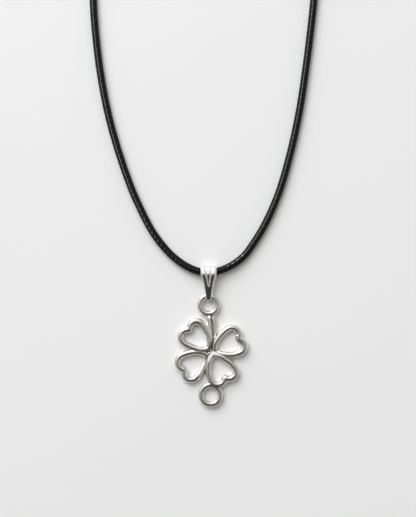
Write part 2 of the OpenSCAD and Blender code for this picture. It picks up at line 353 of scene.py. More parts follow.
def fill(tree, node, inputs):
    """Sets a node's inputs, by name or number, each to a value or from another socket."""
    for key, value in inputs.items():
        if isinstance(value, bpy.types.NodeSocket):
            tree.links.new(value, node.inputs[key])
        else:
            node.inputs[key].default_value = value


def add(tree, kind, inputs=None, **values):
    """A new node with these inputs and settings."""
    made = tree.nodes.new(kind)
    for name, value in values.items():
        setattr(made, name, value)
    fill(tree, made, inputs or {})
    return made


def calc(tree, operation, *values):
    """The output of a Math node on these values or sockets."""
    made = add(tree, "ShaderNodeMath", dict(enumerate(values)), operation=operation)
    return made.outputs[0]


def noise(tree, place, scale, detail):
    """The output of a Noise Texture node."""
    made = add(tree, "ShaderNodeTexNoise", {"Vector": place, "Scale": scale, "Detail": detail})
    return made.outputs[0]


def mixed(tree, share, first, second):
    """The output of a Mix node between two colours."""
    made = add(tree, "ShaderNodeMix", {0: share, 6: first, 7: second}, data_type="RGBA")
    return made.outputs[2]


def new_group(name, kind, inputs, outputs):
    """An empty node group, its input node and its output node. Each socket is given by its
    label, its type and, where it needs one, its default."""
    tree = bpy.data.node_groups.new(name, kind)
    for way, sockets in (("INPUT", inputs), ("OUTPUT", outputs)):
        for label, socket, *default in sockets:
            made = tree.interface.new_socket(label, in_out=way,
                                             socket_type="NodeSocket" + socket)
            if default:
                made.default_value = default[0]
    return tree, add(tree, "NodeGroupInput"), add(tree, "NodeGroupOutput")


def new_material(name):
    """A material, its node tree and its shader."""
    made = bpy.data.materials.new(name)
    made.use_nodes = True
    return made, made.node_tree, made.node_tree.nodes["Principled BSDF"]


def plating_group():
    """Group: polished plating, with faint clouding, hairlines and a soft uneven surface, and dirt
    and painted shade that darken it toward the crevice colour.
    """
    name = "Plating"
    if name in bpy.data.node_groups:
        return bpy.data.node_groups[name]
    tree, given, out = new_group(
        name, "ShaderNodeTree",
        (("Colour", "Color", (0.8, 0.8, 0.8, 1)),
         ("Crevice Colour", "Color", (0.2, 0.18, 0.16, 1)),
         ("Crevice", "Float", 0.0), ("Roughness", "Float", 0.15),
         ("Clouding", "Float", 0.08), ("Cloud Scale", "Float", 500.0),
         ("Skin Scale", "Float", 900.0)),
        (("Colour", "Color"), ("Roughness", "Float"), ("Height", "Float")))
    place = add(tree, "ShaderNodeTexCoord").outputs["Object"]
    cloud = noise(tree, place, given.outputs["Cloud Scale"], 3.0)
    skin = noise(tree, place, given.outputs["Skin Scale"], 2.0)
    brushed = add(tree, "ShaderNodeMapping",
                  {"Vector": place, "Scale": (900, 9000, 2500), "Rotation": (0, 0, 0.6)})
    scratch = calc(tree, "MULTIPLY", noise(tree, brushed.outputs[0], 1.0, 1.0), 0.04)
    spread = calc(tree, "MULTIPLY", calc(tree, "SUBTRACT", cloud, 0.45),
                  given.outputs["Clouding"])
    rough = calc(tree, "ADD", calc(tree, "ADD", given.outputs["Roughness"], spread), scratch)
    rough = calc(tree, "ADD", rough, calc(tree, "MULTIPLY", given.outputs["Crevice"], 0.2))
    # Darkened toward the crevice colour by the mask: dirt and painted shade
    shade = mixed(tree, *(given.outputs[name] for name in ("Crevice", "Colour",
                                                           "Crevice Colour")))
    fill(tree, out, {"Colour": shade, "Roughness": rough,
                     "Height": calc(tree, "ADD", skin, scratch)})
    return tree


def metal(name, colour, dirt_and_shade_attribute=None, **looks):
    """A plated metal, darkened with dirt and painted shade where a mask attribute is given. looks
    are values for the plating group's inputs.
    """
    made, tree, shader = new_material(name)
    inputs = {"Colour": (*colour, 1), **looks}
    if dirt_and_shade_attribute:
        mask = add(tree, "ShaderNodeAttribute", attribute_name=dirt_and_shade_attribute)
        inputs["Crevice"] = mask.outputs["Fac"]
    plate = add(tree, "ShaderNodeGroup", inputs, node_tree=plating_group())
    bump = add(tree, "ShaderNodeBump",
               {"Height": plate.outputs["Height"], "Strength": 0.25, "Distance": 0.02 * MM})
    fill(tree, shader, {"Metallic": 1.0, "Base Color": plate.outputs["Colour"],
                        "Roughness": plate.outputs["Roughness"], "Normal": bump.outputs[0]})
    return made


def braid_height(tree, around, along, strands, lay_length):
    """Nodes for the height of a fine round braid, 0 to 1: ridges that zigzag round the
    cord, each strand crowned. Works in shader and geometry trees."""
    ring = add(tree, "ShaderNodeSeparateXYZ", {0: around})
    turn = calc(tree, "DIVIDE", calc(tree, "ARCTAN2", ring.outputs[1], ring.outputs[0]),
                math.tau)
    column = calc(tree, "MULTIPLY", turn, strands)
    zigzag = calc(tree, "PINGPONG", column, 0.5)
    row = calc(tree, "MULTIPLY", calc(tree, "DIVIDE", along, lay_length), strands)
    ridge = calc(tree, "FRACT", calc(tree, "ADD", row, zigzag))
    crown = calc(tree, "SINE", calc(tree, "MULTIPLY", ridge, math.pi))
    seam = calc(tree, "SINE", calc(tree, "MULTIPLY", zigzag, math.tau))
    return calc(tree, "MULTIPLY", crown, calc(tree, "MULTIPLY_ADD", seam, 0.12, 0.88))


def braid_group():
    """Group: height of the braid, and the gaps between its strands."""
    tree, given, out = new_group(
        "Braid", "ShaderNodeTree",
        (("Around", "Vector"), ("Along", "Float"), ("Strands", "Float"), ("Lay Length", "Float")),
        (("Height", "Float"), ("Gap", "Float")))
    height = braid_height(tree, *(given.outputs[k] for k in range(4)))
    gap = calc(tree, "POWER", calc(tree, "SUBTRACT", 1.0, height), 2.0)
    fill(tree, out, {"Height": height, "Gap": gap})
    return tree


def braid_material(sizes, colour):
    """Black waxed braid: glossy on the strands, duller in the gaps between them, and painted a
    touch darker there as painted shade.
    """
    made, tree, shader = new_material("black_cord")
    around = add(tree, "ShaderNodeAttribute", attribute_name="around")
    along = add(tree, "ShaderNodeAttribute", attribute_name="along")
    braid = add(tree, "ShaderNodeGroup",
                {"Around": around.outputs["Vector"], "Along": along.outputs["Fac"],
                 "Strands": float(sizes.strands), "Lay Length": sizes.lay_length},
                node_tree=braid_group())
    wax = noise(tree, add(tree, "ShaderNodeTexCoord").outputs["Object"], 700.0, 3.0)
    rough = calc(tree, "ADD", calc(tree, "MULTIPLY_ADD", wax, 0.06, 0.05),
                 calc(tree, "MULTIPLY", braid.outputs["Gap"], 0.3))
    # Painted shade: the gaps between the strands are a touch darker than the strands
    shade = mixed(tree, braid.outputs["Gap"], (*colour, 1), (0.002, 0.002, 0.002, 1))
    height = calc(tree, "ADD", braid.outputs["Height"], calc(tree, "MULTIPLY", wax, 0.3))
    bump = add(tree, "ShaderNodeBump",
               {"Height": height, "Strength": 0.2, "Distance": 0.03 * MM})
    fill(tree, shader, {"Base Color": shade, "Roughness": rough, "Specular IOR Level": 0.2,
                        "Normal": bump.outputs[0]})
    return made


# Meshes


def new_piece(name, vertices, faces, material):
    """An object in metres from points in millimetres, riding on the part."""
    mesh = bpy.data.meshes.new(name)
    mesh.from_pydata([tuple(v) for v in np.asarray(vertices, float) * MM], [], faces)
    mesh.validate()
    mesh.materials.append(material)
    mesh.shade_smooth()
    piece = bpy.data.objects.new(name, mesh)
    bpy.context.scene.collection.objects.link(piece)
    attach(piece, BODY)
    return piece


def plain_mesh(piece):
    """A plain mesh of what the piece's modifiers make of it. The modifiers are removed."""
    graph = bpy.context.evaluated_depsgraph_get()
    made = bpy.data.meshes.new_from_object(piece.evaluated_get(graph), depsgraph=graph)
    piece.modifiers.clear()
    return made


def facing_out(piece, weld=0.0):
    """Merges points of the piece that are nearer than weld, then turns its faces outwards."""
    shape = bmesh.new()
    shape.from_mesh(piece.data)
    if weld:
        bmesh.ops.remove_doubles(shape, verts=shape.verts, dist=weld)
    bmesh.ops.recalc_face_normals(shape, faces=shape.faces)
    shape.to_mesh(piece.data)
    shape.free()


def way_to(degrees):
    """Unit vector in plan at an angle from +X."""
    turn = math.radians(degrees)
    return np.array((math.cos(turn), math.sin(turn)))


def arc(centre, radius, start, end, step=0.12):
    """Points on an arc from one angle to another, in degrees, its last one left out."""
    count = max(2, round(abs(math.radians(end - start)) * radius / step))
    turn = np.radians(start + (end - start) * np.arange(count) / count)
    return np.array(centre) + radius * np.column_stack((np.cos(turn), np.sin(turn)))


def rings(sizes):
    """Centre, hole radius and wire width of the top ring and the bottom ring."""
    top = np.array((TOP_ASIDE * sizes.stem_width, sizes.stem_length)) / MM
    turn, px, py, _ = LEAVES[2]
    lobe = (np.array((px, py)) * sizes.wire_width + sizes.leaf_length * way_to(turn)
            + sizes.lobe_step * way_to(turn - 90)) / MM
    reach = (sizes.lobe_radius + sizes.wire_width / 2) / MM + RING_WIRES[1][0] + BOTTOM_GAP
    return (top, *RING_WIRES[0]), (lobe + reach * way_to(BOTTOM_WAY), *RING_WIRES[1])


class Leaf:
    """The open heart of one leaf: its inner and outer outlines about its own point."""

    def __init__(self, sizes):
        self.lobe_x, self.lobe_r = sizes.lobe_step / MM, sizes.lobe_radius / MM
        self.length, self.side_r = sizes.leaf_length / MM, sizes.side_radius / MM
        half = sizes.wire_width / MM / 2
        reach = self.side_r - self.lobe_r
        away = math.hypot(self.lobe_x, self.length)
        foot = (reach ** 2 - self.side_r ** 2 + away ** 2) / (2 * away)
        rise = math.sqrt(reach ** 2 - foot ** 2)
        x, y = -self.lobe_x / away, -self.length / away
        self.side = (self.lobe_x + foot * x + rise * y, foot * y - rise * x)
        self.inner = self.outline(-half, INNER_TIP, INNER_CLEFT)
        self.outer = self.outline(half, half, OUTER_CLEFT)

    def outline(self, out, tip, cleft):
        """The closed outline at a distance from the wire's middle, with the radii of its
        point and its cleft."""
        sx, sy = self.side
        tip_c = (0.0, sy - math.sqrt((self.side_r + out - tip) ** 2 - sx ** 2))
        cleft_c = (0.0, math.sqrt((self.lobe_r + out + cleft) ** 2 - self.lobe_x ** 2))
        tip_end = math.degrees(math.atan2(tip_c[1] - sy, tip_c[0] - sx))
        side_end = math.degrees(math.atan2(-sy, self.lobe_x - sx))
        lobe_end = math.degrees(math.atan2(cleft_c[1], -self.lobe_x))
        half = np.vstack((
            arc(tip_c, tip, -90, tip_end),
            arc(self.side, self.side_r + out, tip_end, side_end),
            arc((self.lobe_x, 0), self.lobe_r + out, side_end, lobe_end),
            arc(cleft_c, cleft, lobe_end - 180, -90),
            [(0.0, cleft_c[1] - cleft)]))
        mirrored = half[-2:0:-1] * (-1, 1)
        return np.vstack((half, mirrored)) + (0.0, self.length)


def off_segment(x, y, start, end):
    """Steps in x and y to points from the nearest spot of a straight stretch."""
    (ax, ay), (bx, by) = start, end
    dx, dy = bx - ax, by - ay
    along = np.clip(((x - ax) * dx + (y - ay) * dy) / (dx * dx + dy * dy), 0, 1)
    return x - ax - along * dx, y - ay - along * dy


def from_lines(x, y, stretches):
    """Distance of points from the nearest of some straight stretches."""
    away = [np.hypot(*off_segment(x, y, start, end)) for start, end in stretches]
    return np.min(np.stack(away), axis=0)


def signed_distance(points, loop):
    """Distance of each point from a closed outline, negative inside it."""
    best = np.full(len(points), 1e9)
    inside = np.zeros(len(points), bool)
    x, y = points.T
    for (ax, ay), (bx, by) in zip(loop, np.roll(loop, -1, 0)):
        dx, dy = off_segment(x, y, (ax, ay), (bx, by))
        best = np.minimum(best, dx ** 2 + dy ** 2)
        if ay != by:
            crosses = (ay > y) != (by > y)
            inside ^= crosses & (x < ax + (y - ay) * (bx - ax) / (by - ay))
    return np.where(inside, -1, 1) * np.sqrt(best)


def oval(across, up, half_width, half_height, square=2.5):
    """Distance from an oval, nearly, negative inside it. At square 2 it is an ellipse,
    and above that its top is flatter and its sides are steeper."""
    a, b = np.abs(across / half_width), np.abs(up / half_height)
    size = np.maximum((a ** square + b ** square) ** (1 / square), 1e-6)
    slope = np.hypot(a ** (square - 1) / half_width, b ** (square - 1) / half_height)
    return (size - 1) * size ** (square - 1) / np.maximum(slope, 1e-6)


def melted(first, second, reach):
    """Union of two fields that run into each other within reach."""
    near = np.maximum(reach - np.abs(first - second), 0) / reach
    return np.minimum(first, second) - near ** 2 * reach / 4


def domed(across, half_width, up, height, upright=0.5):
    """Field of a wire whose sides stand upright, then round over to its height."""
    foot = upright * height
    round_top = oval(across, np.maximum(up - foot, 0), half_width, height - foot)
    return np.where(up > foot, round_top, np.abs(across) - half_width)


def eased(share):
    """A share held between 0 and 1, with soft ends."""
    share = np.clip(share, 0, 1)
    return share * share * (3 - 2 * share)


def softened(values, reach, edges):
    """A row of values, each evened out with so many neighbours to either side."""
    ease = np.hanning(2 * reach + 1)
    return np.convolve(np.pad(values, reach, mode=edges), ease / ease.sum(), mode="valid")


def nudged(local, middle, shifts):
    """Plan points of a leaf, moved so that its outline strays outward by these shifts."""
    x, y = local[:, 0], local[:, 1] - middle
    fine = np.arange(-180, 181)
    table = softened(np.interp(fine, NUDGE_ANGLES, shifts, period=360)[:-1], 16, "wrap")
    shift = np.interp(np.degrees(np.arctan2(y, x)), fine, np.append(table, table[0]))
    least = 1.5
    scale = 1 - shift / np.maximum(np.hypot(x, y), least)
    return np.column_stack((x * scale, middle + y * scale))


def leaf_field(sizes, leaf, index, points, up):
    """Field of one leaf's wire, lower where it sinks or dips under another."""
    width, height = sizes.wire_width / MM, sizes.wire_height / MM
    turn, px, py, sink = LEAVES[index]
    cos, sin = way_to(turn - 90)
    local = (points - np.array((px, py)) * width) @ np.array(((cos, -sin), (sin, cos)))
    middle = NUDGE_MIDDLE * leaf.length
    inner, outer = (signed_distance(nudged(local, middle, shifts), outline)
                    for shifts, outline in zip(NUDGES[index], (leaf.inner, leaf.outer)))
    across, half = (inner + outer) / 2, np.maximum((inner - outer) / 2, LEAST_HALF)
    x, y = local.T
    tall = height * (1 - sink * eased(1 - (y - SINK_FROM) / SINK_REACH))
    for dipped, side, reach, fade, depth in DIPS:
        if dipped == index:
            tall *= 1 - depth * (eased((reach - y) / fade) * eased(0.5 + side * x / DIP_EDGE))
    return domed(across[:, None], half[:, None], up, tall[:, None])


def dirt_and_shade_round(aside, radius):
    """How far dirt and painted shade darken the casting at a distance from a web or groove, from
    0 to 1.
    """
    return np.clip(DARK_REACH - aside / radius, 0, 1)


def clover_field(sizes, points, up):
    """The casting's field on a grid: rows of plan points, by heights. Negative is metal.
    Also how deep each spot lies in a crease between two of its parts, from 0 to 1: the mask for
    dirt and painted shade."""
    leaf = Leaf(sizes)
    parts = [leaf_field(sizes, leaf, index, points, up) for index in range(len(LEAVES))]
    parts[0] = melted(parts[0], stem_field(sizes, points, up), STEM_MELT)
    for centre, bore, wire in rings(sizes):
        away = np.hypot(*(points - centre).T)[:, None] - bore - wire / 2
        parts.append(oval(away, up - RING_LIFT - RING_HEIGHT / 2, wire / 2, RING_HEIGHT / 2))
    field = parts[0]
    for part in parts[1:]:
        field = melted(field, part, sizes.melt / MM)
    # Mask of dirt and painted shade: darker where two parts nearly meet, and round the webs and
    # grooves below
    nearest = np.sort(np.stack(parts), axis=0)
    crease_dirt_and_shade = np.clip(1 - (nearest[1] - nearest[0]) / CREASE_REACH, 0, 1) ** 2
    # Each web is painted dark round it and up to a little over its top: dirt and painted shade
    for x, y, radius, top in WEBS:
        aside = np.hypot(points[:, 0] - x, points[:, 1] - y)[:, None]
        field = melted(field, np.maximum(aside - radius, up - top), WEB_MELT)
        crease_dirt_and_shade = np.maximum(crease_dirt_and_shade, dirt_and_shade_round(aside, radius) * (up < top + WEB_DARK))
    for x, y, z, radius in BEADS:
        away = np.hypot(np.hypot(points[:, 0] - x, points[:, 1] - y)[:, None], up - z)
        field = melted(field, away - radius, BEAD_MELT)
    # Each groove is painted darker round it: dirt and painted shade
    for radius, low, line in CUTS:
        aside = from_lines(*points.T, zip(line, line[1:]))[:, None]
        cut = np.hypot(aside, np.minimum(up - low - radius, 0)) - radius
        field = -melted(-field, cut, CUT_MELT)
        crease_dirt_and_shade = np.maximum(crease_dirt_and_shade, dirt_and_shade_round(aside, radius) * (up > low - radius))
    return -melted(-field, up + 0 * field, BACK_MELT), crease_dirt_and_shade


def stem_field(sizes, points, up):
    """Field of the stem, whose crest runs right of its middle."""
    length, width, height = (v / MM for v in (sizes.stem_length, sizes.stem_width,
                                              sizes.wire_height))
    rows = np.array(STEM)
    y = points[:, 1] / length
    fine = np.linspace(rows[0, 0], rows[-1, 0], 200)
    side, wide, high = (
        np.interp(y, fine, softened(np.interp(fine, rows[:, 0], rows[:, k]), 12, "edge"))
        for k in (1, 2, 3))
    half = wide * width / 2
    crest = side * width + CREST_ASIDE * half
    across = points[:, 0] - crest
    half = np.where(across > 0, (1 - CREST_ASIDE) * half, (1 + CREST_ASIDE) * half)
    high = high * (1 - LEDGE_DROP * eased((across - LEDGE_START) / LEDGE_FALL))
    body = domed(across[:, None], half[:, None], up, (high * height)[:, None])
    ends = np.maximum(rows[0, 0] - y, y - rows[-1, 0]) * length
    return -melted(-body, -np.broadcast_to(ends[:, None], body.shape), END_MELT)


def skin_of(field, low, step):
    """Vertices and quads of the surface where the field is zero, from a regular grid."""
    inside = field < 0
    cells = tuple(n - 1 for n in field.shape)
    total, count = np.zeros((*cells, 3)), np.zeros(cells)
    corners = [np.array(c) for c in np.ndindex(2, 2, 2)]

    def at(values, corner):
        """The values at this corner of every cell."""
        return values[tuple(slice(c, c + n) for c, n in zip(corner, cells))]

    for a in corners:
        for axis in range(3):
            if a[axis]:
                continue
            b = a.copy()
            b[axis] = 1
            fa, fb = at(field, a), at(field, b)
            cut = at(inside, a) != at(inside, b)
            share = np.where(cut, fa / np.where(cut, fa - fb, 1), 0)
            for k in range(3):
                total[..., k] += np.where(cut, a[k] + (share if k == axis else 0), 0)
            count += cut
    used = count > 0
    number = np.full(cells, -1)
    number[used] = np.arange(used.sum())
    base = np.argwhere(used)
    vertices = low + step * (base + total[used] / count[used][:, None])
    quads = []
    for axis in range(3):
        b, c = (axis + 1) % 3, (axis + 2) % 3
        first, second = [slice(None)] * 3, [slice(None)] * 3
        first[axis], second[axis] = slice(0, -1), slice(1, None)
        cut = inside[tuple(first)] != inside[tuple(second)]
        spots = np.argwhere(cut)
        spots = spots[(spots[:, b] > 0) & (spots[:, c] > 0)
                      & (spots[:, b] < cells[b]) & (spots[:, c] < cells[c])]
        ring = []
        for db, dc in ((1, 1), (0, 1), (0, 0), (1, 0)):
            spot = spots.copy()
            spot[:, b] -= db
            spot[:, c] -= dc
            ring.append(number[tuple(spot.T)])
        ring = np.column_stack(ring)
        leaving = inside[tuple(spots.T)]
        quads.append(np.where(leaving[:, None], ring, ring[:, ::-1]))
    return vertices, np.vstack(quads)


def sample(field, low, step, points):
    """The grid field at any points, blended from its eight nearest values."""
    place = (points - low) / step
    base = np.clip(np.floor(place).astype(int), 0, np.array(field.shape) - 2)
    share = place - base
    value = np.zeros(len(points))
    for corner in np.ndindex(2, 2, 2):
        weight = np.prod(np.where(np.array(corner) > 0, share, 1 - share), axis=1)
        value += weight * field[tuple((base + corner).T)]
    return value


def settle(vertices, quads, field, low, step, rounds=4, pull=0.6):
    """Draws each vertex by a share toward its neighbours' middle, and puts it back on the
    field's surface, in several rounds."""
    ends = np.vstack([quads[:, [i, (i + 1) % 4]] for i in range(4)])
    ends = np.vstack((ends, ends[:, ::-1]))
    degree = np.bincount(ends[:, 0], minlength=len(vertices))[:, None]
    for _ in range(rounds):
        near = np.column_stack([np.bincount(ends[:, 0], vertices[ends[:, 1], k],
                                            minlength=len(vertices)) for k in range(3)])
        vertices = (1 - pull) * vertices + pull * near / degree
        for _ in range(2):
            slope = np.column_stack([
                sample(field, low, step, vertices + step * np.eye(3)[k])
                - sample(field, low, step, vertices - step * np.eye(3)[k])
                for k in range(3)]) / (2 * step)
            value = sample(field, low, step, vertices)
            vertices = vertices - (value / (slope ** 2).sum(1))[:, None] * slope
    return vertices


class PENDANT_OT_clover(bpy.types.Operator):
    """Cast the clover with its stem and both rings in one piece"""

    bl_idname = "pendant.clover"
    bl_label = "Clover"

    def execute(self, context):
        sizes, looks = settings().clover, settings().finishes
        step = sizes.mesh_step / MM
        # The grid reaches past the solid's box on all sides
        margin = 0.45
        low, high = (np.array(v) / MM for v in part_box("clover"))
        low, high = low - margin, high + margin
        axes = [np.arange(low[k], high[k] + step, step) for k in range(3)]
        plan = np.stack(np.meshgrid(axes[0], axes[1], indexing="ij"), -1).reshape(-1, 2)
        field, crease_dirt_and_shade = (v.reshape([len(axis) for axis in axes])
                         for v in clover_field(sizes, plan, axes[2][None, :]))
        vertices, quads = skin_of(field, low, step)
        vertices = settle(vertices, quads, field, low, step)
        # The mask darkens the plating with dirt and painted shade in the creases, round the webs
        # and in the grooves
        look = metal("charm_metal", looks.charm, "crease_dirt_and_shade", Roughness=0.15)
        piece = new_piece("clover_casting", vertices, quads.tolist(), look)
        mask = piece.data.attributes.new("crease_dirt_and_shade", "FLOAT", "POINT")
        mask.data.foreach_set("value", sample(crease_dirt_and_shade, low, step, vertices))
        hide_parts("clover")
        return {"FINISHED"}


def bail_route(sizes):
    """Middle line of the folded strip, seen from the side: up the pendant, and height."""
    half = sizes.thickness / MM / 2
    cy, cz = sizes.loop_place / MM, sizes.loop_height / MM
    radius = cz - half
    # Where the pegs stand, how far they reach, and the front tongue's height at its tip
    peg_y = BAIL_WIDTHS[0][0] + half
    back_top, front_foot, tip_z = 0.70, 1.40, 1.925
    # Radius and angles of the bends, the loop's arc behind the cord, and the points' step
    bend, bends, loop_end, step = 0.16, np.radians((22, 45, 68)), 0.70 * math.pi, 0.12
    # From the back peg down to the floor, along the back and round behind the cord
    back = [(peg_y, back_top), (peg_y, half + bend)]
    back += [(peg_y + bend - bend * math.cos(t), half + bend - bend * math.sin(t))
             for t in bends]
    back += [(y, half) for y in np.arange(peg_y + bend, cy, step)]
    loop = [(cy + radius * math.sin(t), cz - radius * math.cos(t))
            for t in np.linspace(0, loop_end, 48)]
    # Over the hump, then down the front to the bend of its peg
    corners = [loop[-1], *BAIL_HUMP, (peg_y + bend, tip_z)]
    front = [corners[0]]
    for a, b in zip(corners, corners[1:]):
        count = max(1, round(math.dist(a, b) / step))
        front += [tuple(np.array(a) + (np.array(b) - a) * k / count) for k in range(1, count + 1)]
    front = np.array(front)
    for _ in range(6):
        front[1:-1] = (front[:-2] + 2 * front[1:-1] + front[2:]) / 4
    peg = [(peg_y + bend - bend * math.sin(t), tip_z - bend + bend * math.cos(t))
           for t in bends]
    peg += [(peg_y, tip_z - bend), (peg_y, front_foot)]
    return np.array(back + loop[:-1] + [tuple(v) for v in front] + peg)


def flutes(x, half, y):
    """Relief of the bail's front at a place up the pendant, from 0 to 1: it rises off
    both edges and off the grooves, so the middle flute dies out where they meet."""
    edge = 1 - np.clip((half - np.abs(x)) / np.interp(y, *FLUTE_EDGES), 0, 1)
    groove = 1 - np.clip(from_lines(x, y, BAIL_GROOVES) / np.interp(y, *FLUTE_CROWNS), 0, 1)
    return np.sqrt(1 - np.maximum(edge, groove) ** 2)


class PENDANT_OT_bail(bpy.types.Operator):
    """Fold the fluted bail round the cord and hook it into the top ring"""

    bl_idname = "pendant.bail"
    bl_label = "Bail"

    def execute(self, context):
        sizes, looks = settings().bail, settings().finishes
        route = bail_route(sizes)
        ahead = np.gradient(route, axis=0)
        ahead /= np.linalg.norm(ahead, axis=1)[:, None]
        outward = np.column_stack((ahead[:, 1], -ahead[:, 0]))
        widths = np.array(BAIL_WIDTHS)
        centre = TOP_ASIDE * settings().clover.stem_width / MM
        across = np.linspace(-1, 1, 65)
        rows = []
        for (y, z), (oy, oz) in zip(route, outward):
            half = np.interp(y, widths[:, 0], widths[:, 1]) / 2
            x = across * half
            front = np.clip((z - sizes.loop_height / MM) / FLUTE_RISE, 0, 1)
            rise = front * flutes(x, half, y) * sizes.flute_height / MM
            rows.append(np.column_stack((centre + x, y + oy * rise, z + oz * rise)))
        count = len(across)
        faces = [(i * count + k, i * count + k + 1, (i + 1) * count + k + 1, (i + 1) * count + k)
                 for i in range(len(rows) - 1) for k in range(count - 1)]
        look = metal("bail_metal", looks.bail, Roughness=0.09)
        piece = new_piece("bail_strip", np.vstack(rows), faces, look)
        wall = piece.modifiers.new("wall", "SOLIDIFY")
        wall.thickness, wall.offset, wall.use_even_offset = sizes.thickness, 0, True
        edge = piece.modifiers.new("edge", "BEVEL")
        edge.width, edge.segments, edge.limit_method = 0.07 * MM, 3, "ANGLE"
        edge.angle_limit = math.radians(50)
        piece.data = plain_mesh(piece)
        facing_out(piece)
        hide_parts("bail")
        return {"FINISHED"}


def clasp_profile(sizes, bore):
    """The clasp's outline from one socket's floor over its outside to the other's floor:
    distance from the middle, and radius."""
    end, barrel, collar = (v / MM / 2 for v in (sizes.length, sizes.barrel, sizes.collar))
    shoulder = end - sizes.collar_length / MM
    floor = end - SOCKET_DEPTH

    def corner(x, radius, size):
        """Three points that round an outer corner of the outline."""
        return [(x, radius - size), (x - 0.3 * size, radius - 0.3 * size), (x - size, radius)]

    # Out of the socket and over its mouth to the collar with its grooves
    half = [(floor, 0.0), (floor, bore - 0.05), (floor + 0.05, bore), (end - 0.12, bore),
            (end, bore + 0.12), *corner(end, collar, 0.3)]
    for groove in COLLAR_GROOVES:
        half += [(end - groove + x, collar - depth) for x, depth in GROOVE_OUTLINE]
    # Up the shoulder to the barrel, and along it to the seam
    half += [(shoulder + 0.15, collar), (shoulder + 0.03, collar + 0.06),
             (shoulder, collar + 0.2), *corner(shoulder, barrel, 0.4)]
    half += [(x, barrel - depth) for x, depth in SEAM_OUTLINE]
    return half + [(-x, r) for x, r in half[-2::-1]]


class PENDANT_OT_clasp(bpy.types.Operator):
    """Turn the barrel clasp that joins both ends of the cord"""

    bl_idname = "pendant.clasp"
    bl_label = "Clasp"

    def execute(self, context):
        sizes, looks = settings().clasp, settings().finishes
        low, high = (np.array(v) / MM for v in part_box("clasp"))
        middle = (low + high) / 2
        profile = clasp_profile(sizes, settings().cord.diameter / MM / 2 + SOCKET_GAP)
        turns, count = 64, len(profile)
        vertices, faces = [], []
        for k in range(turns):
            t = math.tau * k / turns
            vertices += [(middle[0] + x, middle[1] + r * math.cos(t), middle[2] + r * math.sin(t))
                         for x, r in profile]
            a, b = k * count, (k + 1) % turns * count
            faces += [(a + i, a + i + 1, b + i + 1, b + i) for i in range(count - 1)]
        look = metal("clasp_metal", looks.bail, Roughness=0.13)
        piece = new_piece("clasp_barrel", vertices, faces, look)
        facing_out(piece, weld=1e-7)
        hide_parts("clasp")
        return {"FINISHED"}


def cord_route(diameter, step=0.11):
    """Points along the cord's middle, the same smooth curve as in the frame."""
    points = np.array(ROUTE, float)
    points[:, 2] += diameter / 2
    spans = np.diff(points, axis=0)
    back, on = np.vstack((spans[:1], spans)), np.vstack((spans, spans[-1:]))
    n, m = (np.linalg.norm(v, axis=1)[:, None] for v in (back, on))
    way = (back * m / n + on * n / m) / (n + m)
    route = []
    for i in range(len(points) - 1):
        length = np.linalg.norm(spans[i])
        count = math.ceil(length / step)
        t = (np.arange(count) / count)[:, None]
        route.append(points[i] * (2 * t ** 3 - 3 * t ** 2 + 1)
                     + points[i + 1] * (3 * t ** 2 - 2 * t ** 3)
                     + length * (way[i] * (t ** 3 - 2 * t ** 2 + t)
                                 + way[i + 1] * (t ** 3 - t ** 2)))
    route = np.vstack((*route, points[-1:]))
    route[:, 2] = np.maximum(route[:, 2], diameter / 2)
    return route


def tube_tree():
    """Geometry nodes: a round tube along a curve, with its place round and along it."""
    tree, given, out = new_group(
        "Cord tube", "GeometryNodeTree",
        (("Curve", "Geometry"), ("Diameter", "Float"), ("Sides", "Int"), ("Strands", "Float"),
         ("Lay Length", "Float"), ("Relief", "Float"), ("Material", "Material")),
        (("Mesh", "Geometry"),))
    radius = calc(tree, "MULTIPLY", given.outputs["Diameter"], 0.5)
    circle = add(tree, "GeometryNodeCurvePrimitiveCircle",
                 {"Resolution": given.outputs["Sides"], "Radius": radius})
    spot = add(tree, "GeometryNodeInputPosition").outputs[0]
    rim = add(tree, "GeometryNodeStoreNamedAttribute",
              {"Geometry": circle.outputs["Curve"], "Name": "around", "Value": spot},
              data_type="FLOAT_VECTOR", domain="POINT")
    length = add(tree, "GeometryNodeSplineParameter").outputs["Length"]
    line = add(tree, "GeometryNodeStoreNamedAttribute",
               {"Geometry": given.outputs["Curve"], "Name": "along", "Value": length},
               data_type="FLOAT", domain="POINT")
    upright = add(tree, "GeometryNodeSetCurveNormal", {"Curve": line.outputs[0]})
    upright.mode = "Z_UP"
    swept = add(tree, "GeometryNodeCurveToMesh",
                {"Curve": upright.outputs[0], "Profile Curve": rim.outputs[0],
                 "Fill Caps": True})
    around, along = (add(tree, "GeometryNodeInputNamedAttribute", {"Name": name},
                         data_type=kind)
                     for name, kind in (("around", "FLOAT_VECTOR"), ("along", "FLOAT")))
    height = braid_height(tree, around.outputs[0], along.outputs[0],
                          given.outputs["Strands"], given.outputs["Lay Length"])
    # The crowns keep the cord's own diameter, and the gaps sink below them
    sunk = calc(tree, "MULTIPLY", calc(tree, "SUBTRACT", height, 1.0), given.outputs["Relief"])
    shift = add(tree, "ShaderNodeVectorMath",
                {0: add(tree, "GeometryNodeInputNormal").outputs[0], "Scale": sunk},
                operation="SCALE")
    relief = add(tree, "GeometryNodeSetPosition",
                 {"Geometry": swept.outputs[0], "Offset": shift.outputs[0]})
    smooth = add(tree, "GeometryNodeSetShadeSmooth", {"Geometry": relief.outputs[0]})
    real = add(tree, "GeometryNodeRealizeInstances", {"Geometry": smooth.outputs[0]})
    dressed = add(tree, "GeometryNodeSetMaterial",
                  {"Geometry": real.outputs[0], "Material": given.outputs["Material"]})
    fill(tree, out, {"Mesh": dressed.outputs[0]})
    return tree


def grow(piece, tree, values):
    """Runs a geometry tree on the piece and returns the plain mesh that it makes."""
    modifier = piece.modifiers.new(tree.name, "NODES")
    modifier.node_group = tree
    for item in tree.interface.items_tree:
        if item.item_type == "SOCKET" and item.in_out == "INPUT" and item.name in values:
            modifier[item.identifier] = values[item.name]
    return plain_mesh(piece)


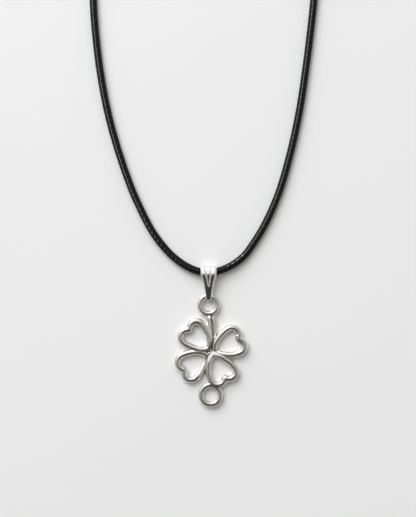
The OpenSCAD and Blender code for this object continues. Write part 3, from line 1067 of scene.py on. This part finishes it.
class PENDANT_OT_cord(bpy.types.Operator):
    """Lay the braided cord from the clasp through the bail and back"""

    bl_idname = "pendant.cord"
    bl_label = "Cord"

    def execute(self, context):
        sizes, looks = settings().cord, settings().finishes
        route = cord_route(sizes.diameter / MM) * MM
        line = bpy.data.curves.new("cord_line", "CURVE")
        line.dimensions = "3D"
        spline = line.splines.new("POLY")
        spline.points.add(len(route) - 1)
        spline.points.foreach_set("co", np.column_stack((route, np.ones(len(route)))).ravel())
        guide = bpy.data.objects.new("cord_line", line)
        context.scene.collection.objects.link(guide)
        look = braid_material(sizes, looks.cord)
        mesh = grow(guide, tube_tree(),
                    {"Diameter": sizes.diameter, "Sides": sizes.sides,
                     "Strands": float(sizes.strands), "Lay Length": sizes.lay_length,
                     "Relief": sizes.relief, "Material": look})
        bpy.data.objects.remove(guide)
        piece = bpy.data.objects.new("cord_braid", mesh)
        context.scene.collection.objects.link(piece)
        bpy.data.collections["strip_lit"].objects.link(piece)
        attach(piece, BODY)
        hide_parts("cord")
        return {"FINISHED"}


def floor_material(colour):
    """Plain pale matt floor with the faintest unevenness."""
    made, tree, shader = new_material("pale_floor")
    haze = noise(tree, add(tree, "ShaderNodeTexCoord").outputs["Object"], 14.0, 2.0)
    shade = mixed(tree, calc(tree, "MULTIPLY", haze, 0.06), (*colour, 1), (0.5, 0.5, 0.5, 1))
    fill(tree, shader, {"Base Color": shade, "Roughness": 0.45})
    return made


def toward(azimuth, elevation):
    """Unit vector to a place in the sky, azimuth from +X, both in degrees."""
    a, e = math.radians(azimuth), math.radians(elevation)
    return Vector((math.cos(a) * math.cos(e), math.sin(a) * math.cos(e), math.sin(e)))


def world_light(strength):
    """Even light from all round, brighter and cooler in the north-west, darker in the
    south and south-west."""
    world = bpy.data.worlds.new("studio")
    bpy.context.scene.world = world
    world.use_nodes = True
    tree = world.node_tree
    tree.nodes.clear()
    way = add(tree, "ShaderNodeTexCoord").outputs["Generated"]
    level, shares = strength, []
    for azimuth, elevation, begins, full, amount in SKY:
        near = add(tree, "ShaderNodeVectorMath",
                   {0: way, 1: toward(azimuth, elevation)}, operation="DOT_PRODUCT")
        share = add(tree, "ShaderNodeMapRange",
                    {"Value": near.outputs["Value"], "From Min": begins, "From Max": full},
                    interpolation_type="SMOOTHSTEP")
        shares.append(share.outputs[0])
        level = calc(tree, "MULTIPLY", level,
                     calc(tree, "MULTIPLY_ADD", share.outputs[0], amount, 1.0))
    lit = calc(tree, "MAXIMUM", shares[0], shares[1])
    tint = mixed(tree, lit, (1.0, 0.95, 0.89, 1), (0.98, 1.0, 1.04, 1))
    back = add(tree, "ShaderNodeBackground", {0: tint, 1: level})
    add(tree, "ShaderNodeOutputWorld", {0: back.outputs[0]})


def area_light(name, target, power):
    """A soft rectangular light that looks at a target, from where the table places it."""
    azimuth, elevation, distance, size = LIGHTS[name]
    place = target + toward(azimuth, elevation) * distance
    lamp = bpy.data.lights.new(name, "AREA")
    lamp.shape, lamp.size, lamp.size_y = "RECTANGLE", *size
    lamp.energy = power
    made = bpy.data.objects.new(name, lamp)
    made.location = place
    made.rotation_euler = (target - place).to_track_quat("-Z", "Y").to_euler()
    bpy.context.scene.collection.objects.link(made)
    return made


class PENDANT_OT_stage(bpy.types.Operator):
    """Set up the camera over the pendant, the pale floor and the soft light"""

    bl_idname = "pendant.stage"
    bl_label = "Stage"

    def execute(self, context):
        looks = settings().stage
        # The photograph's frame: its height, its middle and the height that it is measured
        # at, half way up the charm, in millimetres like the sensor
        tall, middle, level, sensor = 129.25, (-0.6, 22.825), 1.0, 36.0
        camera = bpy.data.objects.new("camera", bpy.data.cameras.new("camera"))
        camera.data.lens, camera.data.sensor_width = looks.lens, sensor
        above = tall * looks.lens / sensor
        camera.location = Vector((*middle, level + above)) * MM
        camera.data.clip_start, camera.data.clip_end = 0.01, 10.0
        context.scene.collection.objects.link(camera)
        context.scene.camera = camera
        floor = bpy.data.meshes.new("floor")
        reach = 3.0
        floor.from_pydata([(-reach, -reach, 0), (reach, -reach, 0), (reach, reach, 0),
                           (-reach, reach, 0)], [], [(0, 1, 2, 3)])
        floor.materials.append(floor_material(looks.floor))
        ground = bpy.data.objects.new("floor", floor)
        context.scene.collection.objects.link(ground)
        world_light(looks.fill)
        charm = Vector((0.0, 0.02, 0.0))
        soft = area_light("main", charm, looks.main)
        glint = area_light("glint", charm, looks.glint)
        soft.visible_glossy = glint.visible_diffuse = False
        # A long light to the west that only the cord shows, all along its length
        strip = area_light("strip", charm, looks.strip)
        strip.light_linking.receiver_collection = bpy.data.collections.new("strip_lit")
        context.scene.view_settings.view_transform = "Standard"
        return {"FINISHED"}


STEPS = (PENDANT_OT_stage, PENDANT_OT_clasp, PENDANT_OT_cord, PENDANT_OT_clover,
         PENDANT_OT_bail)


class PENDANT_PT_panel(bpy.types.Panel):
    """Lists the pieces of the pendant"""

    bl_idname = "PENDANT_PT_panel"
    bl_label = "Clover pendant"
    bl_space_type = "VIEW_3D"
    bl_region_type = "UI"
    bl_category = "Clover pendant"

    def draw(self, context):
        for step in STEPS:
            self.layout.operator(step.bl_idname)


class PendantSettings(bpy.types.PropertyGroup):
    """All settings of the pendant"""

    clover: PointerProperty(type=CloverSizes)
    bail: PointerProperty(type=BailSizes)
    cord: PointerProperty(type=CordSizes)
    clasp: PointerProperty(type=ClaspSizes)
    finishes: PointerProperty(type=Finishes)
    stage: PointerProperty(type=StageLooks)


CLASSES = (CloverSizes, BailSizes, CordSizes, ClaspSizes, Finishes, StageLooks,
           PendantSettings, *STEPS, PENDANT_PT_panel)


def register():
    """Adds the settings, the operators and the panel."""
    for kind in CLASSES:
        bpy.utils.register_class(kind)
    bpy.types.Scene.clover_pendant = PointerProperty(type=PendantSettings)


def unregister():
    """Removes them again."""
    del bpy.types.Scene.clover_pendant
    for kind in reversed(CLASSES):
        bpy.utils.unregister_class(kind)


def main():
    """Builds the whole pendant."""
    register()
    bpy.ops.pendant.stage()
    bpy.ops.pendant.clasp()
    bpy.ops.pendant.cord()
    bpy.ops.pendant.clover()
    bpy.ops.pendant.bail()
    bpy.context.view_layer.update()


if __name__ == "__main__":
    main()
